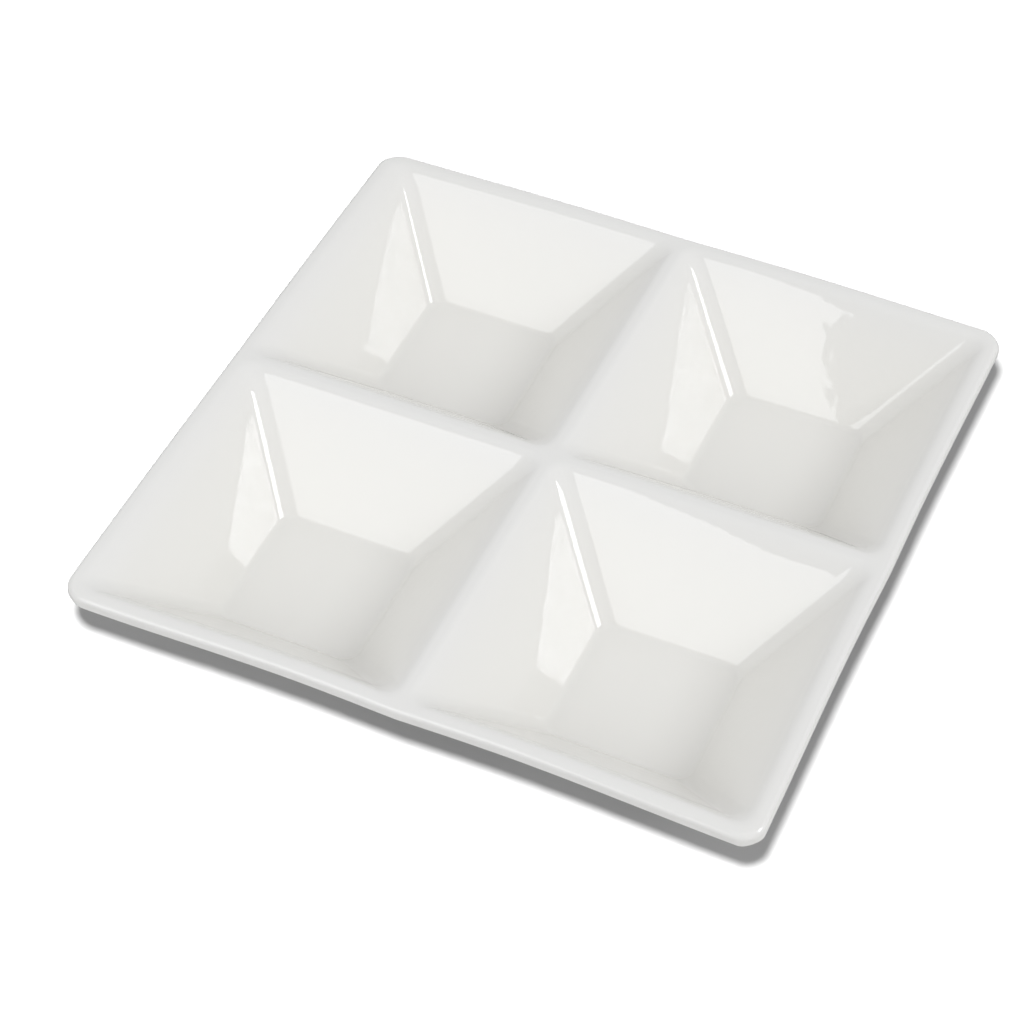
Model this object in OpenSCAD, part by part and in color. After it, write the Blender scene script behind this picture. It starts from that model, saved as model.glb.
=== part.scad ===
// Square serving dish of white porcelain with four sloping wells, glazed all over but for its foot rings.
// Lengths are in millimetres. X runs left to right, Y front to back, and Z up from the table.

/* [Dish] */
// Width over the rim, left to right
dish_w = 200; // [170:1:280]
// Length over the rim, front to back
dish_l = 200; // [170:1:280]
// Radius of the rim's corners, seen from above
rim_corner_r = 7.5; // [4:0.5:12]

/* [Wells] */
// Depth of each well below the top of the rim
well_depth = 28; // [20:0.5:34]
// Horizontal run of a sloping wall, edge to edge
wall_run = 24.6; // [20:0.2:30]
// How far each floor lies outward, in X and in Y, of the middle of its well's mouth
floor_shift = 0.5; // [0:0.1:2]
// How far the tops of a well's walls are drawn in from the rim, towards the dish's middle
mouth_draw = 1; // [0:0.1:1.5]
// Radius of the corners between two sloping walls, seen from above
well_corner_r = 5; // [3:0.5:9]
// Radius where a wall turns into the floor
floor_round = 3; // [1.5:0.5:6]

/* [Rim and dividers] */
// Radius of the rounded crests of the dividers and of the rim's inner edge
crest_round = 4.4; // [3:0.2:6]
// Radius of the soft shoulder that leads from a wall into its crest
shoulder_round = 17; // [8:1:24]
// Slope at which the shoulder gives way to the crest, in degrees
shoulder_slope = 28; // [16:1:32]
// Flat left along the top of a divider
crest_flat = 0.6; // [0.2:0.1:2]
// Flat left along the top of the rim
rim_flat = 0.9; // [0.2:0.1:3]
// Radius of the rim's outer top edge
rim_top_round = 1.6; // [1:0.1:2.6]
// Height of the rim's side, lip underside to crest
rim_h = 4.2; // [3.6:0.1:7]
// Radius of the lip's lower edge
rim_foot_round = 1.2; // [0.6:0.1:1.8]

/* [Body] */
// Thickness of the fired wall, glaze included
wall_t = 3.8; // [3:0.1:4.4]
// Radius under the lip and under the dividers, where the cups meet the rim
lip_fillet = 1.3; // [0.8:0.1:2]
// Thickness of the glaze
glaze_t = 0.3; // [0.2:0.05:0.5]

/* [Foot rings] */
// Height of the bare foot rings below the glazed underside
foot_h = 1.8; // [1:0.1:4]
// Width of a foot ring's standing face
foot_w = 2.6; // [1.5:0.1:5]
// Step from the edge of a cup's flat underside in to its foot ring
foot_step = 1.4; // [0.8:0.1:4]

/* [Hidden] */
$fn = 48;

// Facets along a quarter turn of a corner, and along a rounding in section
corner_steps = 5;
round_steps = 4;
shoulder_steps = 2;
crest_steps = 3;
// How far a cut or a joined piece runs past the face it meets
overrun = 1;

// Heights above the table
floor_z = foot_h + wall_t;
top_z = floor_z + well_depth;
lip_z = top_z - rim_h;

// The sloping wall in section: its angle, and how far each rounding's tangent reaches from the sharp edge
wall_angle = atan(well_depth / wall_run);
shoulder_depth = top_z - crest_z(wall_angle, 0);
crest_reach = crest_inset(wall_angle, 0) - shoulder_depth / tan(wall_angle);
floor_reach = floor_round * tan(wall_angle / 2);

// Insets from the outline that the crests' roundings start at
floor_inset = crest_reach + wall_run + floor_reach;
lip_inset = crest_reach + (rim_h + lip_fillet) / tan(wall_angle) - (wall_t + lip_fillet) / sin(wall_angle);

// That outline's half sizes, the middle of a well's mouth, and the middle of its floor
well_half_w = (dish_w / 2 - rim_top_round - rim_flat - crest_flat / 2) / 2;
well_half_l = (dish_l / 2 - rim_top_round - rim_flat - crest_flat / 2) / 2;
well_x = crest_flat / 2 + well_half_w;
well_y = crest_flat / 2 + well_half_l;
floor_x = well_x + floor_shift;
floor_y = well_y + floor_shift;

// Half sizes and corner radius of a foot ring's outer edge
foot_half_w = well_half_w - floor_inset - foot_step;
foot_half_l = well_half_l - floor_inset - foot_step;
foot_corner_r = well_corner_r + foot_w;

porcelain_colour = "#d9d3c6";
glaze_colour = "#f4f5f1";

// Angles from one value to another, in the steps of a rounding
function sweep(from, to) = [for (i = [0:round_steps]) from + (to - from) * i / round_steps];

// The angles of the rings of a crest, from the wall up: the shoulder first, then the crest
function crest_angles() = [
    for (i = [0:shoulder_steps - 1]) wall_angle + (shoulder_slope - wall_angle) * i / shoulder_steps,
    for (i = [crest_steps:-1:0]) shoulder_slope * i / crest_steps
];

// Inset and height of a crest where it has turned to one slope. skin is how far below the surface the face lies
function crest_inset(a, skin) =
    (crest_round - skin) * sin(a)
    + (shoulder_round - crest_round) * (sin(max(a, shoulder_slope)) - sin(shoulder_slope));
function crest_z(a, skin) =
    top_z - crest_round + (crest_round - skin) * cos(a)
    + (shoulder_round - crest_round) * (cos(max(a, shoulder_slope)) - cos(shoulder_slope));

// How far outward a well lies at one height. The mouth's edge stays put, the walls' tops are drawn in over the
// shoulder, and from there the wells lean out to the floor's shift
function shift_at(z) =
    let (depth = min(well_depth, max(0, top_z - z)), left = max(0, 1 - depth / shoulder_depth))
    (floor_shift + mouth_draw) * depth / well_depth - mouth_draw * (1 - left * left);

// One ring of a loft: a rectangle with rounded corners, at one height, its middle moved by a shift
function rounded_ring(half_w, half_l, radius, z, shift_x = 0, shift_y = 0) = [
    for (corner = [0:3])
        let (side_x = [1, -1, -1, 1][corner], side_y = [1, 1, -1, -1][corner])
        for (i = [0:corner_steps])
            let (angle = 90 * (corner + i / corner_steps))
            [shift_x + side_x * (half_w - radius) + radius * cos(angle),
             shift_y + side_y * (half_l - radius) + radius * sin(angle), z]
];

// A solid through a stack of rings that all have the same number of points, lowest first
module loft(rings) {
    count = len(rings[0]);
    last = len(rings) - 1;
    sides = [
        for (level = [0:last - 1])
            for (i = [0:count - 1])
                let (next = (i + 1) % count)
                [level * count + i, (level + 1) * count + i, (level + 1) * count + next, level * count + next]
    ];
    floor_face = [for (i = [0:count - 1]) i];
    top_face = [for (i = [count - 1:-1:0]) last * count + i];
    polyhedron(points = [for (ring = rings) each ring], faces = concat([floor_face], sides, [top_face]));
}

// Stacks rings along a section of [inset, height, corner radius] rows inside the outline of the well on one side
module well_loft(section, side_x, side_y) {
    translate([side_x * well_x, side_y * well_y, 0])
        loft([
            for (row = section)
                let (shift = shift_at(row[1]))
                rounded_ring(well_half_w - row[0], well_half_l - row[0], row[2], row[1],
                             side_x * shift, side_y * shift)
        ]);
}

// The space of one well. skin is how far below the glaze's surface the face lies
module well_space(skin, side_x, side_y) {
    well_loft([
        for (a = sweep(0, wall_angle))
            [floor_inset - (floor_round + skin) * sin(a),
             floor_z + floor_round - (floor_round + skin) * cos(a), well_corner_r + skin * sin(a)],
        for (a = crest_angles())
            [crest_inset(a, skin), crest_z(a, skin), well_corner_r + skin * sin(a)],
        [0, top_z + overrun, well_corner_r]
    ], side_x, side_y);
}

// The outside of one cup, parallel to its well, flaring into the lip above it
module cup_outside(skin, side_x, side_y) {
    outer_round = floor_round + wall_t - skin;
    well_loft([
        for (a = sweep(0, wall_angle))
            [floor_inset - outer_round * sin(a),
             floor_z + floor_round - outer_round * cos(a), well_corner_r + (wall_t - skin) * sin(a)],
        for (a = sweep(wall_angle, 0))
            [lip_inset + (lip_fillet + skin) * sin(a),
             lip_z - lip_fillet + (lip_fillet + skin) * cos(a), well_corner_r + (wall_t - skin) * sin(wall_angle)],
        [lip_inset, top_z - rim_top_round, well_corner_r + (wall_t - skin) * sin(wall_angle)]
    ], side_x, side_y);
}

// The flat slab that the rim and the dividers are made from, with its edges rounded
module rim_slab(skin) {
    loft([
        for (row = concat(
            [for (a = sweep(0, 90)) [rim_foot_round, lip_z + rim_foot_round, rim_foot_round - skin, a, -1]],
            [for (a = sweep(90, 0)) [rim_top_round, top_z - rim_top_round, rim_top_round - skin, a, 1]]
        ))
            let (inset = row[0] - row[2] * sin(row[3]))
            rounded_ring(dish_w / 2 - inset, dish_l / 2 - inset, rim_corner_r - inset,
                         row[1] + row[4] * row[2] * cos(row[3]))
    ]);
}

// The dish without its foot rings, its faces drawn in by skin from the glaze's surface
module dish_shape(skin) {
    difference() {
        union() {
            rim_slab(skin);
            for (side_x = [-1, 1])
                for (side_y = [-1, 1])
                    cup_outside(skin, side_x, side_y);
        }
        for (side_x = [-1, 1])
            for (side_y = [-1, 1])
                well_space(skin, side_x, side_y);
    }
}

// Puts its children under the middles of the four floors
module at_floors() {
    for (side_x = [-1, 1])
        for (side_y = [-1, 1])
            translate([side_x * floor_x, side_y * floor_y, 0])
                children();
}

// Outline of a foot ring's outer edge, drawn in by an inset
module foot_outline(inset) {
    radius = foot_corner_r - inset;
    width = 2 * (foot_half_w - inset);
    length = 2 * (foot_half_l - inset);
    square([width, length - 2 * radius], center = true);
    square([width - 2 * radius, length], center = true);
    for (side_x = [-1, 1])
        for (side_y = [-1, 1])
            translate([side_x * (width / 2 - radius), side_y * (length / 2 - radius)])
                circle(r = radius);
}

// One bare foot ring, rising through the glaze into the floor of its cup
module foot_ring() {
    linear_extrude(foot_h + wall_t / 2)
        difference() {
            foot_outline(0);
            foot_outline(foot_w);
        }
}

// The fired body, with its four foot rings
module porcelain_body() {
    color(porcelain_colour)
        union() {
            dish_shape(glaze_t);
            at_floors()
                foot_ring();
        }
}

// The coat of glaze over the whole dish, up to the outside of each foot ring
module glaze_coat() {
    color(glaze_colour)
        difference() {
            dish_shape(0);
            dish_shape(glaze_t);
            at_floors()
                linear_extrude(foot_h + wall_t / 2)
                    foot_outline(0);
        }
}

// The patch of glaze that fills the underside within one foot ring
module base_glaze(side_x, side_y) {
    color(glaze_colour)
        translate([side_x * floor_x, side_y * floor_y, foot_h])
            linear_extrude(glaze_t)
                foot_outline(foot_w);
}

module base_glaze_front_left() {
    base_glaze(-1, -1);
}

module base_glaze_front_right() {
    base_glaze(1, -1);
}

module base_glaze_back_left() {
    base_glaze(-1, 1);
}

module base_glaze_back_right() {
    base_glaze(1, 1);
}

porcelain_body();
glaze_coat();
base_glaze_front_left();
base_glaze_front_right();
base_glaze_back_left();
base_glaze_back_right();
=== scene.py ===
import math

import bpy
import mathutils
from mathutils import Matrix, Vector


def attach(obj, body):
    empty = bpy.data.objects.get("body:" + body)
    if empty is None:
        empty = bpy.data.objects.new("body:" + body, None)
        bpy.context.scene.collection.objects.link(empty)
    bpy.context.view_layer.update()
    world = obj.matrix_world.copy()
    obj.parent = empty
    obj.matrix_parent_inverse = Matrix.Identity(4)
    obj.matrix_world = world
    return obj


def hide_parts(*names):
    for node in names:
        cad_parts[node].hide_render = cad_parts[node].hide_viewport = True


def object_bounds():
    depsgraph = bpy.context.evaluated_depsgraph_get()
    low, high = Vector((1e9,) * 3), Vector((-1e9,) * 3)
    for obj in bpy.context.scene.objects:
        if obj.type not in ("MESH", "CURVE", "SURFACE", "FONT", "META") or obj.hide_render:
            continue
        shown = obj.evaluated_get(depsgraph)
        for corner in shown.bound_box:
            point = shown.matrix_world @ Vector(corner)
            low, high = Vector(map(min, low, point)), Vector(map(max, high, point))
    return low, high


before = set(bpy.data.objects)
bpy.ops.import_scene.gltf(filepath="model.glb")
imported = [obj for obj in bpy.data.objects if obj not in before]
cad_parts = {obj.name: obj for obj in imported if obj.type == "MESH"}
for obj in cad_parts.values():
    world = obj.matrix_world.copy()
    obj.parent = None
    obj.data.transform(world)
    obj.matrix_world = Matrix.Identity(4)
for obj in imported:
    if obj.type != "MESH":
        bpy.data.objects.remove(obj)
cad_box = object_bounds()

# The fired clay body
# One casting of white clay with four sloping wells, crossed dividers, a rounded rim and four low foot rings.
# It is pressed in one piece and fired. The glaze hides all of it but the foot rings, which are ground flat.
mm = 0.001
dish_low, dish_high = cad_box
dish_half = (dish_high[0] - dish_low[0]) / 2
top_z = dish_high[2]
glaze_t = 0.3 * mm
foot_h = 1.8 * mm
foot_w = 2.6 * mm
foot_step = 1.4 * mm
foot_edge_round = 0.45 * mm
wall_t = 3.8 * mm
well_depth = top_z - foot_h - wall_t
wall_run = 24.6 * mm
floor_shift = 0.5 * mm
mouth_draw = 1 * mm
well_corner_r = 5 * mm
floor_round = 3 * mm
crest_round = 4.4 * mm
shoulder_round = 17 * mm
shoulder_slope = math.radians(28)
crest_flat = 0.6 * mm
rim_flat = 0.9 * mm
rim_corner_r = 7.5 * mm
rim_top_round = 1.6 * mm
rim_h = 4.2 * mm
rim_foot_round = 1.2 * mm
lip_fillet = 1.3 * mm

quarter_turn = math.pi / 2
wall_angle = math.atan2(well_depth, wall_run)
shoulder_spread = shoulder_round - crest_round
shoulder_reach = crest_round * math.sin(wall_angle)
shoulder_reach += shoulder_spread * (math.sin(wall_angle) - math.sin(shoulder_slope))
shoulder_depth = crest_round * (1 - math.cos(wall_angle))
shoulder_depth += shoulder_spread * (math.cos(shoulder_slope) - math.cos(wall_angle))
crest_reach = shoulder_reach - shoulder_depth / math.tan(wall_angle)
floor_z = top_z - well_depth
lip_z = top_z - rim_h
floor_inset = crest_reach + wall_run + floor_round * math.tan(wall_angle / 2)
lip_reach = (rim_h + lip_fillet) / math.tan(wall_angle) - (wall_t + lip_fillet) / math.sin(wall_angle)
well_half = (dish_half - rim_top_round - rim_flat - crest_flat / 2) / 2
well_centre = crest_flat / 2 + well_half
floor_centre = well_centre + floor_shift
foot_half = well_half - floor_inset - foot_step
foot_corner_r = well_corner_r + foot_w


def worked(tree, operation, *terms):
    """One sum in a node tree."""
    node = tree.nodes.new("ShaderNodeMath")
    node.operation = operation
    for slot, term in zip(node.inputs, terms):
        feed(tree, term, slot)
    return Field(tree, node.outputs[0])


class Field:
    """A number in a node tree, so that a rule reads as a sum."""

    def __init__(self, tree, socket):
        self.tree = tree
        self.socket = socket

    def does(self, operation, *terms):
        return worked(self.tree, operation, self, *terms)

    def __add__(self, other):
        return self.does("ADD", other)

    def __radd__(self, other):
        return self.does("ADD", other)

    def __sub__(self, other):
        return self.does("SUBTRACT", other)

    def __rsub__(self, other):
        return worked(self.tree, "SUBTRACT", other, self)

    def __mul__(self, other):
        return self.does("MULTIPLY", other)

    def __rmul__(self, other):
        return self.does("MULTIPLY", other)

    def __truediv__(self, other):
        return self.does("DIVIDE", other)

    def __rtruediv__(self, other):
        return worked(self.tree, "DIVIDE", other, self)

    def part(self):
        """Held between nothing and one."""
        return self.does("MAXIMUM", 0).does("MINIMUM", 1)

    def sine(self):
        return self.does("SINE")

    def cosine(self):
        return self.does("COSINE")

    def towards(self, other, share):
        """Moves from this to another by a share."""
        return (other - self) * share + self


def feed(tree, value, slot):
    """Gives a socket a plain value, a field or another node's output."""
    if isinstance(value, Field):
        tree.links.new(value.socket, slot)
    elif isinstance(value, bpy.types.NodeSocket):
        tree.links.new(value, slot)
    else:
        slot.default_value = value


def put(tree, kind, settings=None, **inputs):
    """Adds a node. An underscore in an input's name stands for a space."""
    node = tree.nodes.new(kind)
    for name, value in (settings or {}).items():
        setattr(node, name, value)
    for name, value in inputs.items():
        slot = next(s for s in node.inputs if s.name == name.replace("_", " ") and s.enabled)
        feed(tree, value, slot)
    return node


def new_rule(name, kind, sizes, result, extra=()):
    """A node tree with named number inputs, and its inputs as fields."""
    tree = bpy.data.node_groups.new(name, kind)
    for label in sizes:
        tree.interface.new_socket(label, in_out="INPUT", socket_type="NodeSocketFloat")
    for label, socket_type in extra:
        tree.interface.new_socket(label, in_out="INPUT", socket_type=socket_type)
    for label, socket_type in result:
        tree.interface.new_socket(label, in_out="OUTPUT", socket_type=socket_type)
    taken = tree.nodes.new("NodeGroupInput")
    given = {s.name: Field(tree, s) for s in taken.outputs if s.name}
    return tree, given


def give_back(tree, **results):
    end = tree.nodes.new("NodeGroupOutput")
    for name, value in results.items():
        feed(tree, value, end.inputs[name.replace("_", " ")])


def sheet_grid(tree, columns, rows):
    """A flat grid to be bent into shape, with each point's step along it and ring across it."""
    grid = put(tree, "GeometryNodeMeshGrid", Size_X=columns, Size_Y=rows, Vertices_X=columns + 1,
               Vertices_Y=rows + 1)
    place = put(tree, "ShaderNodeSeparateXYZ", Vector=put(tree, "GeometryNodeInputPosition").outputs[0])
    step = (Field(tree, place.outputs["X"]) + columns / 2).does("ROUND")
    ring = (Field(tree, place.outputs["Y"]) + rows / 2).does("ROUND")
    return grid.outputs["Mesh"], step, ring


def rounded_square(tree, step, corner_steps, side_steps, half, radius, next_radius):
    """The point at a step round a square with rounded corners, centred on the Z axis."""
    quarter = corner_steps + side_steps
    side = (step / quarter).does("FLOOR")
    along = step - side * quarter
    turn = (along / corner_steps).part() * quarter_turn
    run = ((along - corner_steps) / side_steps).part()
    straight = half - radius
    x = straight + radius * turn.cosine() - run * (straight + half - next_radius)
    y = straight + radius * turn.sine()
    point = put(tree, "ShaderNodeCombineXYZ", X=x, Y=y)
    turned = put(tree, "ShaderNodeVectorRotate", {"rotation_type": "Z_AXIS"}, Vector=point.outputs[0],
                 Angle=side * quarter_turn)
    return turned.outputs[0]


def placed(tree, mesh, vector, shift_x, shift_y, z):
    """Sets every point of a sheet to a place in the dish."""
    shift = put(tree, "ShaderNodeCombineXYZ", X=shift_x, Y=shift_y, Z=z)
    total = tree.nodes.new("ShaderNodeVectorMath")
    feed(tree, vector, total.inputs[0])
    feed(tree, shift.outputs[0], total.inputs[1])
    return put(tree, "GeometryNodeSetPosition", Geometry=mesh, Position=total.outputs[0]).outputs[0]


def joined(tree, *meshes):
    join = tree.nodes.new("GeometryNodeJoinGeometry")
    for mesh in meshes:
        tree.links.new(mesh, join.inputs[0])
    return join.outputs[0]


# One sloping face of a well or cup: rounded at the bottom and at the top, then run out to the quarter's edges
wall_sizes = ["Start half width", "Start corner radius", "Start steps", "Half width", "Centre",
              "Low inset", "Low height", "Low radius", "Low corner radius", "Low corner growth",
              "High inset", "High height", "High radius", "High corner radius", "High corner growth",
              "Shoulder spread", "Shoulder slope", "Wall angle", "Top height", "Depth", "Shoulder depth",
              "Floor shift", "Mouth draw", "Edge half width", "Edge corner radius",
              "Turn steps", "Wall steps", "Corner steps", "Side steps"]
wall_rule, size = new_rule("Sloping wall", "GeometryNodeTree", wall_sizes, [("Mesh", "NodeSocketGeometry")])
corner_steps = size["Corner steps"]
side_steps = size["Side steps"]
turn_steps = size["Turn steps"]
wall_steps = size["Wall steps"]
rows = size["Start steps"] + turn_steps * 2 + wall_steps + 1
sheet, step, ring = sheet_grid(wall_rule, (corner_steps + side_steps) * 4, rows)
start_part = (ring / size["Start steps"]).part()
low_part = ((ring - size["Start steps"]) / turn_steps).part()
wall_part = ((ring - size["Start steps"] - turn_steps) / wall_steps).part()
high_part = ((ring - size["Start steps"] - turn_steps - wall_steps) / turn_steps).part()
edge_part = (ring - rows + 1).part()
low_turn = size["Wall angle"] * low_part
high_turn = size["Wall angle"] * (1 - high_part)
soft_turn = high_turn.does("MAXIMUM", size["Shoulder slope"])
low_inset = size["Low inset"] - size["Low radius"] * low_turn.sine()
low_height = size["Low height"] - size["Low radius"] * low_turn.cosine()
high_inset = size["High inset"] + size["High radius"] * high_turn.sine()
high_inset = high_inset + size["Shoulder spread"] * (soft_turn.sine() - size["Shoulder slope"].sine())
high_height = size["High height"] + size["High radius"] * high_turn.cosine()
high_height = high_height + size["Shoulder spread"] * (soft_turn.cosine() - size["Shoulder slope"].cosine())
low_corner = size["Low corner radius"] + size["Low corner growth"] * low_turn.sine()
high_corner = size["High corner radius"] + size["High corner growth"] * high_turn.sine()
inset = low_inset.towards(high_inset, wall_part)
height = low_height.towards(high_height, wall_part)
radius = size["Start corner radius"].towards(low_corner.towards(high_corner, wall_part), start_part)
half = size["Start half width"].towards(size["Half width"] - inset, start_part)
depth = (size["Top height"] - height).does("MAXIMUM", 0).does("MINIMUM", size["Depth"])
above = (1 - depth / size["Shoulder depth"]).part()
lean = (size["Floor shift"] + size["Mouth draw"]) * depth / size["Depth"]
lean = lean - size["Mouth draw"] * (1 - above * above)
corner = (step / (corner_steps + side_steps)).does("FLOOR")
at_rim = corner.does("MODULO", 4).does("LESS_THAN", 0.5)
before_rim = (corner - 3).does("ABSOLUTE").does("LESS_THAN", 0.5)
point = rounded_square(wall_rule, step, corner_steps, side_steps,
                       half.towards(size["Edge half width"], edge_part),
                       radius.towards(size["Edge corner radius"] * at_rim, edge_part),
                       radius.towards(size["Edge corner radius"] * before_rim, edge_part))
middle = (size["Centre"] + lean).towards(size["Edge half width"], edge_part)
give_back(wall_rule, Mesh=placed(wall_rule, sheet, point, middle, middle, height))

# The rim's edge along two sides of a quarter: top rounding, upright side and lower rounding
rim_sizes = ["Dish half width", "Rim corner radius", "Top height", "Top rounding", "Rim height",
             "Foot rounding", "Skin depth", "Turn steps", "Upright steps", "Corner steps", "Side steps"]
rim_rule, size = new_rule("Rim edge", "GeometryNodeTree", rim_sizes, [("Mesh", "NodeSocketGeometry")])
side_steps = size["Side steps"]
corner_steps = size["Corner steps"]
turn_steps = size["Turn steps"]
upright_steps = size["Upright steps"]
sheet, step, ring = sheet_grid(rim_rule, side_steps * 2 + corner_steps, turn_steps * 2 + upright_steps)
first_side = (step / side_steps).part()
corner_turn = ((step - side_steps) / corner_steps).part() * quarter_turn
last_side = ((step - side_steps - corner_steps) / side_steps).part()
top_turn = (ring / turn_steps).part() * quarter_turn
side_part = ((ring - turn_steps) / upright_steps).part()
foot_turn = ((ring - turn_steps - upright_steps) / turn_steps).part() * quarter_turn
top_arc = size["Top rounding"] - size["Skin depth"]
foot_arc = size["Foot rounding"] - size["Skin depth"]
reach = size["Rim corner radius"] - size["Skin depth"] - top_arc * (1 - top_turn.sine())
reach = reach - foot_arc * (1 - foot_turn.cosine())
height = size["Top height"] - size["Top rounding"] + top_arc * top_turn.cosine()
height = height - side_part * (size["Rim height"] - size["Top rounding"] - size["Foot rounding"])
height = height - foot_arc * foot_turn.sine()
straight = size["Dish half width"] - size["Rim corner radius"]
origin = put(rim_rule, "ShaderNodeCombineXYZ")
edge = placed(rim_rule, sheet, origin.outputs[0], straight * (1 - last_side) + reach * corner_turn.cosine(),
              straight * first_side + reach * corner_turn.sine(), height)
give_back(rim_rule, Mesh=edge)

# One quarter of the dish's surface, drawn in by a skin depth, made by the two rules above
skin_rule, size = new_rule("Dish surface", "GeometryNodeTree", ["Skin depth", "Turn steps", "Wall steps"],
                           [("Mesh", "NodeSocketGeometry")])
skin = size["Skin depth"]
round_steps = {"Corner_steps": 16, "Side_steps": 24}
shared = {"Half_width": well_half, "Centre": well_centre, "Low_inset": floor_inset,
          "Low_height": floor_z + floor_round, "Low_corner_radius": well_corner_r, "Wall_angle": wall_angle,
          "Shoulder_slope": shoulder_slope, "Top_height": top_z, "Depth": well_depth,
          "Shoulder_depth": shoulder_depth, "Floor_shift": floor_shift, "Mouth_draw": mouth_draw,
          "Turn_steps": size["Turn steps"], "Wall_steps": size["Wall steps"], **round_steps}
well = put(skin_rule, "GeometryNodeGroup", {"node_tree": wall_rule}, Start_half_width=0,
           Start_corner_radius=0, Start_steps=6, Low_radius=skin + floor_round, Low_corner_growth=skin,
           High_inset=0, High_height=top_z - crest_round, High_radius=crest_round - skin,
           High_corner_radius=well_corner_r, High_corner_growth=skin, Shoulder_spread=shoulder_spread,
           Edge_half_width=(dish_half - rim_top_round) / 2, Edge_corner_radius=rim_corner_r - rim_top_round,
           **shared)
cup = put(skin_rule, "GeometryNodeGroup", {"node_tree": wall_rule}, Start_half_width=foot_half,
          Start_corner_radius=foot_corner_r, Start_steps=2, Low_radius=floor_round + wall_t - skin,
          Low_corner_growth=wall_t - skin, High_inset=crest_reach + lip_reach, High_height=lip_z - lip_fillet,
          High_radius=skin + lip_fillet,
          High_corner_radius=well_corner_r + (wall_t - skin) * math.sin(wall_angle), High_corner_growth=0,
          Shoulder_spread=0, Edge_half_width=(dish_half - rim_foot_round) / 2,
          Edge_corner_radius=rim_corner_r - rim_foot_round, **shared)
rim = put(skin_rule, "GeometryNodeGroup", {"node_tree": rim_rule}, Dish_half_width=dish_half,
          Rim_corner_radius=rim_corner_r, Top_height=top_z, Top_rounding=rim_top_round, Rim_height=rim_h,
          Foot_rounding=rim_foot_round, Skin_depth=skin, Turn_steps=size["Turn steps"], Upright_steps=2,
          **round_steps)
upward = put(skin_rule, "GeometryNodeFlipFaces", Mesh=joined(skin_rule, well.outputs[0], rim.outputs[0]))
give_back(skin_rule, Mesh=joined(skin_rule, upward.outputs[0], cup.outputs[0]))

# Puts a quarter round the dish four times and joins the seams
round_rule, size = new_rule("Four quarters", "GeometryNodeTree", ["Seam"], [("Mesh", "NodeSocketGeometry")],
                            [("Quarter", "NodeSocketGeometry")])
spots = put(round_rule, "GeometryNodeMeshLine", Count=4, Offset=(0, 0, 0))
number = Field(round_rule, put(round_rule, "GeometryNodeInputIndex").outputs[0])
angles = put(round_rule, "ShaderNodeCombineXYZ", Z=number * quarter_turn)
turns = put(round_rule, "FunctionNodeEulerToRotation", Euler=angles.outputs[0])
copies = put(round_rule, "GeometryNodeInstanceOnPoints", Points=spots.outputs[0], Instance=size["Quarter"],
             Rotation=turns.outputs[0])
whole = put(round_rule, "GeometryNodeRealizeInstances", Geometry=copies.outputs[0])
closed = put(round_rule, "GeometryNodeMergeByDistance", Geometry=whole.outputs[0], Distance=size["Seam"])
give_back(round_rule, Mesh=closed.outputs[0])

# A foot ring under one quarter: down its outer wall, across its ground face, up its inner wall and in to
# the middle of the cup's underside
foot_sizes = ["Half width", "Corner radius", "Width", "Top height", "Edge rounding", "Centre", "Corner steps",
              "Side steps"]
foot_rule, size = new_rule("Foot ring", "GeometryNodeTree", foot_sizes, [("Mesh", "NodeSocketGeometry")])
arris_steps = 4
face_steps = 2
ceiling_steps = 3
face_start = 1 + arris_steps
inner_start = face_start + face_steps
inner_wall_start = inner_start + arris_steps
ceiling_start = inner_wall_start + 1
sheet, step, ring = sheet_grid(foot_rule, (size["Corner steps"] + size["Side steps"]) * 4,
                               ceiling_start + ceiling_steps)
outer_part = ring.part()
outer_turn = ((ring - 1) / arris_steps).part() * quarter_turn
face_part = ((ring - face_start) / face_steps).part()
inner_turn = ((ring - inner_start) / arris_steps).part() * quarter_turn
inner_part = (ring - inner_wall_start).part()
ceiling_part = ((ring - ceiling_start) / ceiling_steps).part()
edge_round = size["Edge rounding"]
inset = edge_round * (1 - outer_turn.cosine()) + face_part * (size["Width"] - edge_round * 2)
inset = inset + edge_round * inner_turn.sine()
height = size["Top height"].towards(edge_round, outer_part) - edge_round * outer_turn.sine()
height = height + edge_round * (1 - inner_turn.cosine()) + inner_part * (size["Top height"] - edge_round)
half = (size["Half width"] - inset) * (1 - ceiling_part)
radius = (size["Corner radius"] - inset) * (1 - ceiling_part)
point = rounded_square(foot_rule, step, size["Corner steps"], size["Side steps"], half, radius, radius)
ring_mesh = placed(foot_rule, sheet, point, size["Centre"], size["Centre"], height)
flipped = put(foot_rule, "GeometryNodeFlipFaces", Mesh=ring_mesh)
give_back(foot_rule, Mesh=flipped.outputs[0])

# The unevenness of a fired dish, which grows from the ground feet upwards: a slow sway and a fine ripple all
# over, each side of the rim rising and drawing in a little along its length, and the walls below it swelling
# outward, so that they run flat right up to a tight crest
side_names = ("Right", "Back", "Left", "Front")
warp_sizes = ["Sway", "Sway size", "Ripple", "Ripple size", "Clear height", "Dish half width", "Wave length",
              "Wave start", "Wave rest", "Top height", "Swell depth", "Swell foot"]
warp_sizes += [name + kind for kind in (" lift", " pull", " swell") for name in side_names]
warp_rule, size = new_rule("Kiln warp", "GeometryNodeTree", warp_sizes, [("Mesh", "NodeSocketGeometry")],
                           [("Mesh", "NodeSocketGeometry")])
at = put(warp_rule, "GeometryNodeInputPosition").outputs[0]
parts = put(warp_rule, "ShaderNodeSeparateXYZ", Vector=at)
across = Field(warp_rule, parts.outputs["X"])
along = Field(warp_rule, parts.outputs["Y"])
upward = Field(warp_rule, parts.outputs["Z"])
free = ((upward - size["Clear height"]) / (size["Clear height"] * 3)).part()
shifts = []
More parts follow.
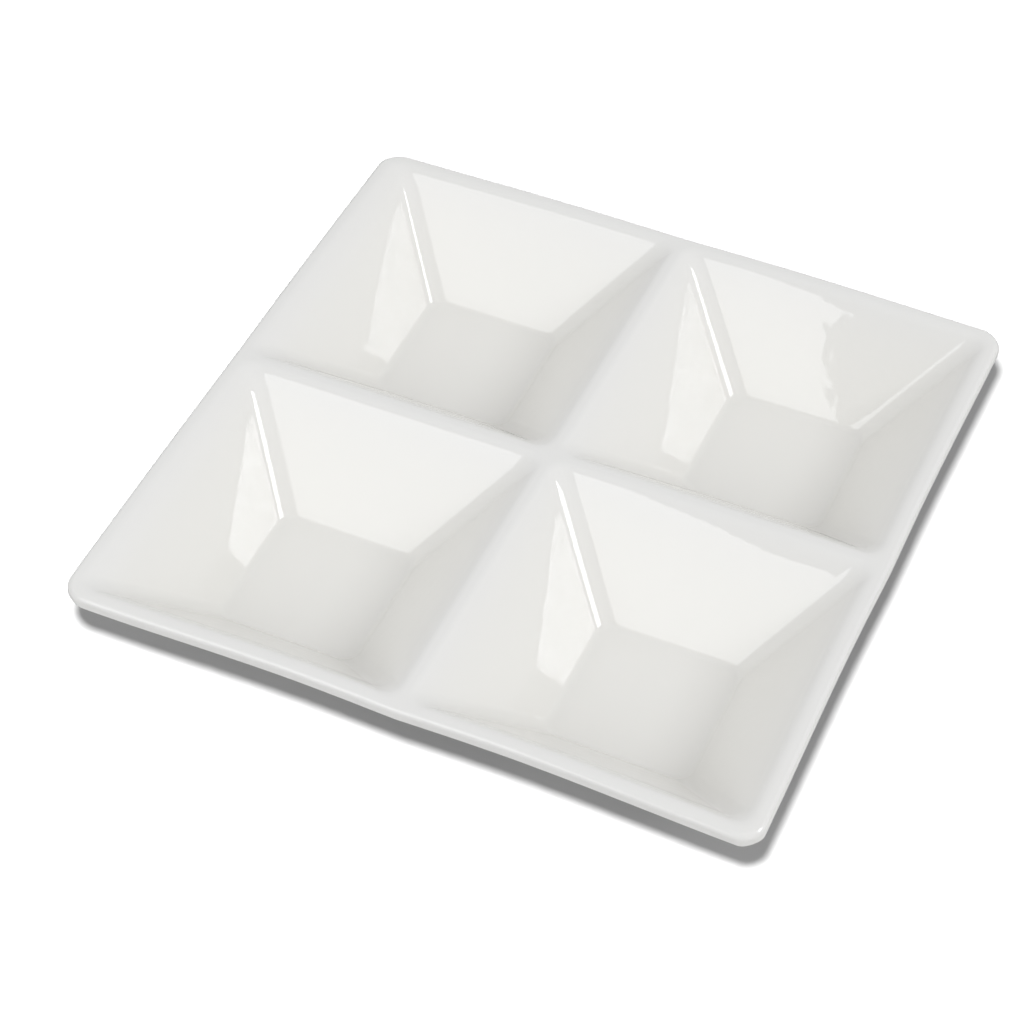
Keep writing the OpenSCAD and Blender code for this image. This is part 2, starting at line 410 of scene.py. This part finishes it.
for seed, label in ((3.0, "Sway"), (8.0, "Ripple")):
    noise = put(warp_rule, "ShaderNodeTexNoise", {"noise_dimensions": "4D"}, Vector=at, W=seed,
                Scale=1 / size[label + " size"], Detail=0)
    centred = put(warp_rule, "ShaderNodeVectorMath", {"operation": "SUBTRACT"})
    feed(warp_rule, noise.outputs["Color"], centred.inputs[0])
    centred.inputs[1].default_value = (0.5, 0.5, 0.5)
    grown = put(warp_rule, "ShaderNodeVectorMath", {"operation": "SCALE"}, Scale=size[label] * free * 2)
    feed(warp_rule, centred.outputs[0], grown.inputs[0])
    shifts.append(grown.outputs[0])
swell_start = 0.5
swell_ease = 0.2
swell_end = 0.985
swell_fade = 0.06
depth = size["Top height"] - upward
above = (1 - depth / size["Swell depth"]).part()
below = ((size["Swell foot"] - depth) / (size["Swell foot"] - size["Swell depth"])).part()
for index, name in enumerate(side_names):
    outward = across if index % 2 == 0 else along
    sideways = along if index % 2 == 0 else across
    sign = 1 if index < 2 else -1
    reach = (outward * sign / size["Dish half width"]).part()
    near = reach.does("POWER", 4) * free
    swell = (1 - above * above) * below * ((reach - swell_start) / swell_ease).part()
    swell = swell * ((swell_end - reach) / swell_fade).part()
    place = sideways.does("ABSOLUTE") / size["Dish half width"]
    wave = ((place - size["Wave start"]) / size["Wave length"] * (2 * math.pi)).cosine()
    rise = size[name + " lift"] * (wave - size["Wave rest"]) * near
    draw = (size[name + " swell"] * swell - size[name + " pull"] * wave * near) * sign
    push = {"X": draw} if index % 2 == 0 else {"Y": draw}
    shifts.append(put(warp_rule, "ShaderNodeCombineXYZ", Z=rise, **push).outputs[0])
total = shifts[0]
for shift in shifts[1:]:
    added = put(warp_rule, "ShaderNodeVectorMath", {"operation": "ADD"})
    feed(warp_rule, total, added.inputs[0])
    feed(warp_rule, shift, added.inputs[1])
    total = added.outputs[0]
bent = put(warp_rule, "GeometryNodeSetPosition", Geometry=size["Mesh"], Offset=total)
give_back(warp_rule, Mesh=bent.outputs[0])
warp = {"Sway": 0.2 * mm, "Sway_size": 110 * mm, "Ripple": 0.04 * mm, "Ripple_size": 24 * mm,
        "Clear_height": 2.2 * mm, "Dish_half_width": dish_half, "Wave_length": 1.2, "Wave_start": 0.33,
        "Wave_rest": 0.7, "Top_height": top_z, "Swell_depth": 4.5 * mm, "Swell_foot": 26.5 * mm,
        "Right_lift": 0.3 * mm, "Back_lift": 0.3 * mm, "Left_lift": 0.1 * mm, "Front_lift": 0.5 * mm,
        "Right_pull": 0.25 * mm, "Back_pull": 0, "Left_pull": 0, "Front_pull": 0.28 * mm,
        "Right_swell": 1.9 * mm, "Back_swell": 1.9 * mm, "Left_swell": 0, "Front_swell": 1.9 * mm}


def finish_rule(tree, mesh, material):
    """Ends a piece's tree: quarters set round, warped, smoothed, made real and given its material."""
    whole = put(tree, "GeometryNodeGroup", {"node_tree": round_rule}, Quarter=mesh, Seam=0.002 * mm)
    bent = put(tree, "GeometryNodeGroup", {"node_tree": warp_rule}, Mesh=whole.outputs[0], **warp)
    smooth = put(tree, "GeometryNodeSetShadeSmooth", Geometry=bent.outputs[0])
    real = put(tree, "GeometryNodeRealizeInstances", Geometry=smooth.outputs[0])
    faced = put(tree, "GeometryNodeSetMaterial", Geometry=real.outputs[0], Material=material)
    give_back(tree, Mesh=faced.outputs[0])


def make_piece(name, tree, sizes):
    """Runs a piece's tree once and keeps the result as a plain mesh."""
    piece = bpy.data.objects.new(name, bpy.data.meshes.new(name))
    bpy.context.scene.collection.objects.link(piece)
    rule = piece.modifiers.new("Rule", "NODES")
    rule.node_group = tree
    for item in tree.interface.items_tree:
        if item.name in sizes:
            rule[item.identifier] = sizes[item.name]
    graph = bpy.context.evaluated_depsgraph_get()
    mesh = bpy.data.meshes.new_from_object(piece.evaluated_get(graph), depsgraph=graph)
    piece.modifiers.remove(rule)
    piece.data = mesh
    mesh.name = name
    return piece


def new_material(name):
    material = bpy.data.materials.new(name)
    material.use_nodes = True
    tree = material.node_tree
    shader = tree.nodes["Principled BSDF"]
    place = put(tree, "ShaderNodeTexCoord").outputs["Object"]
    return material, tree, shader, place


def mixed(tree, share, first, second):
    """A colour between two others."""
    mix = put(tree, "ShaderNodeMix", {"data_type": "RGBA"}, Factor=share, A=first, B=second)
    return next(s for s in mix.outputs if s.enabled)


# Slow and fine changes of tone, as fired clay and glaze both have
tone_rule, size = new_rule("Fired tone", "ShaderNodeTree", ["Patch size", "Grain size", "Grain share"],
                           [("Tone", "NodeSocketFloat")], [("Vector", "NodeSocketVector")])
patches = put(tone_rule, "ShaderNodeTexNoise", Vector=size["Vector"], Detail=2.0,
              Scale=1 / size["Patch size"])
grain = put(tone_rule, "ShaderNodeTexNoise", Vector=size["Vector"], Detail=2.0,
            Scale=1 / size["Grain size"])
patch_tone = Field(tone_rule, patches.outputs["Fac"])
give_back(tone_rule, Tone=patch_tone.towards(Field(tone_rule, grain.outputs["Fac"]), size["Grain share"]))

# Height of a surface in metres: long waves and a fine grain
relief_rule, size = new_rule("Fired relief", "ShaderNodeTree",
                             ["Wave size", "Wave height", "Grain size", "Grain height"],
                             [("Height", "NodeSocketFloat")], [("Vector", "NodeSocketVector")])
waves = put(relief_rule, "ShaderNodeTexNoise", Vector=size["Vector"], Detail=0.0,
            Scale=1 / size["Wave size"])
grain = put(relief_rule, "ShaderNodeTexNoise", Vector=size["Vector"], Detail=2.0,
            Scale=1 / size["Grain size"])
raised = Field(relief_rule, waves.outputs["Fac"]) * size["Wave height"]
give_back(relief_rule, Height=raised + Field(relief_rule, grain.outputs["Fac"]) * size["Grain height"])

# Scattered small specks, as pinholes in glaze and dark grains in clay
speck_rule, size = new_rule("Specks", "ShaderNodeTree", ["Spacing", "Speck share", "Kept share"],
                            [("Mask", "NodeSocketFloat")], [("Vector", "NodeSocketVector")])
cells = put(speck_rule, "ShaderNodeTexVoronoi", Vector=size["Vector"], Scale=1 / size["Spacing"])
chance = put(speck_rule, "ShaderNodeSeparateColor", Color=cells.outputs["Color"])
near = Field(speck_rule, cells.outputs["Distance"]) / size["Speck share"]
kept = Field(speck_rule, chance.outputs["Red"]).does("LESS_THAN", size["Kept share"])
give_back(speck_rule, Mask=(1 - near).part() * kept)

clay, tree, shader, place = new_material("Bare fired clay")
clay_colour = (0.80, 0.77, 0.71, 1)
clay_shade = (0.70, 0.66, 0.59, 1)
clay_speck = (0.34, 0.30, 0.25, 1)
tone = put(tree, "ShaderNodeGroup", {"node_tree": tone_rule}, Vector=place, Patch_size=7 * mm,
           Grain_size=0.5 * mm, Grain_share=0.5)
colour = mixed(tree, tone.outputs[0], clay_colour, clay_shade)
specks = put(tree, "ShaderNodeGroup", {"node_tree": speck_rule}, Vector=place, Spacing=1.3 * mm,
             Speck_share=0.14, Kept_share=0.35)
feed(tree, mixed(tree, specks.outputs[0], colour, clay_speck), shader.inputs["Base Color"])
shader.inputs["Roughness"].default_value = 0.78
relief = put(tree, "ShaderNodeGroup", {"node_tree": relief_rule}, Vector=place, Wave_size=3 * mm,
             Wave_height=0.03 * mm, Grain_size=0.25 * mm, Grain_height=0.012 * mm)
bump = put(tree, "ShaderNodeBump", Height=relief.outputs[0], Distance=1.0)
feed(tree, bump.outputs[0], shader.inputs["Normal"])

body_rule, size = new_rule("Fired body", "GeometryNodeTree", ["Skin depth"], [("Mesh", "NodeSocketGeometry")],
                           [("Material", "NodeSocketMaterial")])
inner = put(body_rule, "GeometryNodeGroup", {"node_tree": skin_rule}, Skin_depth=size["Skin depth"],
            Turn_steps=5, Wall_steps=2)
ring_foot = put(body_rule, "GeometryNodeGroup", {"node_tree": foot_rule}, Half_width=foot_half,
                Corner_radius=foot_corner_r, Width=foot_w, Top_height=size["Skin depth"] + foot_h,
                Edge_rounding=foot_edge_round, Centre=floor_centre, **round_steps)
finish_rule(body_rule, joined(body_rule, inner.outputs[0], ring_foot.outputs[0]), size["Material"])
body = make_piece("fired_body", body_rule, {"Skin depth": glaze_t, "Material": clay})
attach(body, "root")
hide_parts("porcelain_body")

# The coat of glaze
# A glassy white coat 0.3 mm thick over the whole dish, up to the outside of each foot ring.
# The fired body is dipped, its foot rings are wiped, and the second firing melts the glaze smooth.
glaze, tree, shader, place = new_material("White glaze")
# The first colour is darker as painted shade on the crests and rim top; the next is the lighter, warmer glaze
# low in the dish.
top_painted_shade_colour = (0.850, 0.848, 0.834, 1)
low_glaze_colour = (0.874, 0.866, 0.832, 1)
thin_colour = (0.870, 0.858, 0.842, 1)
pit_colour = (0.62, 0.60, 0.56, 1)
thin_share = 0.3
pit_share = 0.5
pit_depth = 0.02 * mm
smoothest = 0.012
smooth_change = 0.03
level = Field(tree, put(tree, "ShaderNodeSeparateXYZ", Vector=place).outputs["Z"])
# Painted shade: the glaze colour darkens toward the crests and the rim's top, standing in for shade on the
# tops; low down, in the wells and under the dish, it is a little lighter and warmer.
shaded_toward_top = mixed(tree, ((level - floor_z) / well_depth).part().does("POWER", 4), low_glaze_colour, top_painted_shade_colour)
tone = put(tree, "ShaderNodeGroup", {"node_tree": tone_rule}, Vector=place, Patch_size=40 * mm,
           Grain_size=3 * mm, Grain_share=0.25)
toned = mixed(tree, Field(tree, tone.outputs[0]) * thin_share, shaded_toward_top, thin_colour)
pinholes = put(tree, "ShaderNodeGroup", {"node_tree": speck_rule}, Vector=place, Spacing=9 * mm,
               Speck_share=0.022, Kept_share=0.10)
pitted = mixed(tree, Field(tree, pinholes.outputs[0]) * pit_share, toned, pit_colour)
feed(tree, pitted, shader.inputs["Base Color"])
feed(tree, Field(tree, tone.outputs[0]) * smooth_change + smoothest, shader.inputs["Roughness"])
shader.inputs["IOR"].default_value = 1.52
relief = put(tree, "ShaderNodeGroup", {"node_tree": relief_rule}, Vector=place, Wave_size=3.2 * mm,
             Wave_height=0.012 * mm, Grain_size=9 * mm, Grain_height=0.006 * mm)
sunk = Field(tree, relief.outputs[0]) - Field(tree, pinholes.outputs[0]) * pit_depth
bump = put(tree, "ShaderNodeBump", Height=sunk, Distance=1.0)
feed(tree, bump.outputs[0], shader.inputs["Normal"])

coat_rule, size = new_rule("Glaze coat", "GeometryNodeTree", ["Thickness"], [("Mesh", "NodeSocketGeometry")],
                           [("Material", "NodeSocketMaterial")])
outer = put(coat_rule, "GeometryNodeGroup", {"node_tree": skin_rule}, Skin_depth=0, Turn_steps=12,
            Wall_steps=9)
inner = put(coat_rule, "GeometryNodeGroup", {"node_tree": skin_rule}, Skin_depth=size["Thickness"],
            Turn_steps=5, Wall_steps=2)
inner_turned = put(coat_rule, "GeometryNodeFlipFaces", Mesh=inner.outputs[0])
# The narrow band round each foot ring that joins the coat's two faces
corner_steps = round_steps["Corner_steps"]
side_steps = round_steps["Side_steps"]
sheet, step, ring = sheet_grid(coat_rule, (corner_steps + side_steps) * 4, 1)
point = rounded_square(coat_rule, step, corner_steps, side_steps, foot_half, foot_corner_r, foot_corner_r)
band = placed(coat_rule, sheet, point, floor_centre, floor_centre, ring * size["Thickness"] + foot_h)
band_turned = put(coat_rule, "GeometryNodeFlipFaces", Mesh=band)
quarter = joined(coat_rule, outer.outputs[0], inner_turned.outputs[0], band_turned.outputs[0])
finish_rule(coat_rule, quarter, size["Material"])
coat = make_piece("glaze_coat_fired", coat_rule, {"Thickness": glaze_t, "Material": glaze})
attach(coat, "root")
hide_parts("glaze_coat")

# The four patches of glaze inside the foot rings
# The same white glaze, left where the dip filled each ring; the wiped ring parts it from the coat.
for side in ("front_left", "front_right", "back_left", "back_right"):
    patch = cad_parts["base_glaze_" + side]
    for slot in patch.material_slots:
        slot.material = glaze

# The table and the room
# A plain white table and an even white room.
# The camera sees both white, and the table keeps the dish's shadow.
table_reach = 3.0
table_seen = (0.16, 0.16, 0.16, 1)
table_glow = (0.08, 0.08, 0.08, 1)
shadow_fill = 0.155
table_mesh = bpy.data.meshes.new("table")
table_mesh.from_pydata([(-table_reach, -table_reach, 0), (table_reach, -table_reach, 0),
                        (table_reach, table_reach, 0), (-table_reach, table_reach, 0)], [], [(0, 1, 2, 3)])
table = bpy.data.objects.new("table", table_mesh)
bpy.context.scene.collection.objects.link(table)
table_white, tree, shader, place = new_material("Table white")
rays = put(tree, "ShaderNodeLightPath")
feed(tree, mixed(tree, rays.outputs["Is Camera Ray"], table_glow, table_seen), shader.inputs["Base Color"])
shader.inputs["Roughness"].default_value = 1.0
shader.inputs["Specular IOR Level"].default_value = 0.0
shader.inputs["Emission Color"].default_value = (1, 1, 1, 1)
feed(tree, Field(tree, rays.outputs["Is Camera Ray"]) * shadow_fill, shader.inputs["Emission Strength"])
table_mesh.materials.append(table_white)

room_level = 0.42
room_right = 0.48
room_left = 0.36
room_shine = 1.0
world = bpy.data.worlds.new("White room")
bpy.context.scene.world = world
world.use_nodes = True
tree = world.node_tree
rays = put(tree, "ShaderNodeLightPath")
seen = Field(tree, rays.outputs["Is Camera Ray"])
shone = Field(tree, rays.outputs["Is Glossy Ray"]).does("MAXIMUM", rays.outputs["Is Transmission Ray"])
way = put(tree, "ShaderNodeSeparateXYZ", Vector=put(tree, "ShaderNodeTexCoord").outputs["Generated"])
aside = Field(tree, way.outputs["X"])
soft = aside.part() * room_right + (aside * -1).part() * room_left + room_level
strength = soft.towards(room_shine, shone).does("MAXIMUM", seen)
feed(tree, strength, tree.nodes["Background"].inputs["Strength"])
tree.nodes["Background"].inputs["Color"].default_value = (1, 1, 1, 1)


# The lamps and the camera
# A broad softbox of two panels in front and a smaller one high at the right light the dish.
# A bulb lights the table alone.
def aimed(lamp, direction, distance, roll=0.0, shift=(0, 0)):
    """Puts a lamp out along a direction, facing the dish, turned and shifted in its own plane."""
    out = mathutils.Vector(direction).normalized()
    turn = out.to_track_quat("Z", "Y") @ mathutils.Quaternion((0, 0, 1), roll)
    lamp.location = out * distance + turn @ mathutils.Vector((*shift, 0)) + mathutils.Vector((0, 0, top_z))
    lamp.rotation_euler = turn.to_euler()


def add_softbox(name, direction, distance, width, height, level, roll=0.0, shift=(0, 0)):
    """A soft lamp that faces the dish. Level is its brightness, where white paper in plain light is 1."""
    data = bpy.data.lights.new(name, "AREA")
    data.shape = "RECTANGLE"
    data.size = width
    data.size_y = height
    data.energy = level * math.pi * width * height
    data.color = (0.975, 0.985, 1.0)
    lamp = bpy.data.objects.new(name, data)
    bpy.context.scene.collection.objects.link(lamp)
    aimed(lamp, direction, distance, roll, shift)


front_way = (-0.27, -0.71, 0.64)
front_distance = 1.2
front_roll = math.radians(29.4)
front_level = 2.34
seam = -0.115
upper_width = 0.592
upper_height = 0.46
upper_aside = -0.154
lower_width = 0.71
lower_height = 0.27
lower_aside = -0.095
add_softbox("front softbox, upper panel", front_way, front_distance, upper_width, upper_height, front_level,
            front_roll, (upper_aside, seam + upper_height / 2))
add_softbox("front softbox, lower panel", front_way, front_distance, lower_width, lower_height, front_level,
            front_roll, (lower_aside, seam - lower_height / 2))

right_way = (0.75, 0.11, 0.65)
right_distance = 2.0
right_width = 0.56
right_height = 0.60
right_level = 9.4
add_softbox("right softbox", right_way, right_distance, right_width, right_height, right_level)

bulb = bpy.data.lights.new("table lamp", "POINT")
bulb_power = 300
bulb_radius = 0.045
bulb_place = (0.170, -0.483, 0.790)
bulb.energy = bulb_power
bulb.shadow_soft_size = bulb_radius
bulb.use_nodes = True
falloff = put(bulb.node_tree, "ShaderNodeLightFalloff", Strength=1.0)
feed(bulb.node_tree, falloff.outputs["Constant"], bulb.node_tree.nodes["Emission"].inputs["Strength"])
table_lamp = bpy.data.objects.new("table lamp", bulb)
bpy.context.scene.collection.objects.link(table_lamp)
table_lamp.location = bulb_place
lit = bpy.data.collections.new("Lit by the table lamp")
lit.objects.link(table)
table_lamp.light_linking.receiver_collection = lit

camera_data = bpy.data.cameras.new("camera")
camera_data.lens = 99.44
camera_data.sensor_width = 36
camera_data.clip_start = 0.01
camera = bpy.data.objects.new("camera", camera_data)
bpy.context.scene.collection.objects.link(camera)
camera.location = (0.21629, -0.50268, 0.60195)
camera.rotation_euler = (math.radians(42.753), 0, math.radians(24.441))
bpy.context.scene.camera = camera
bpy.context.scene.view_settings.view_transform = "Standard"
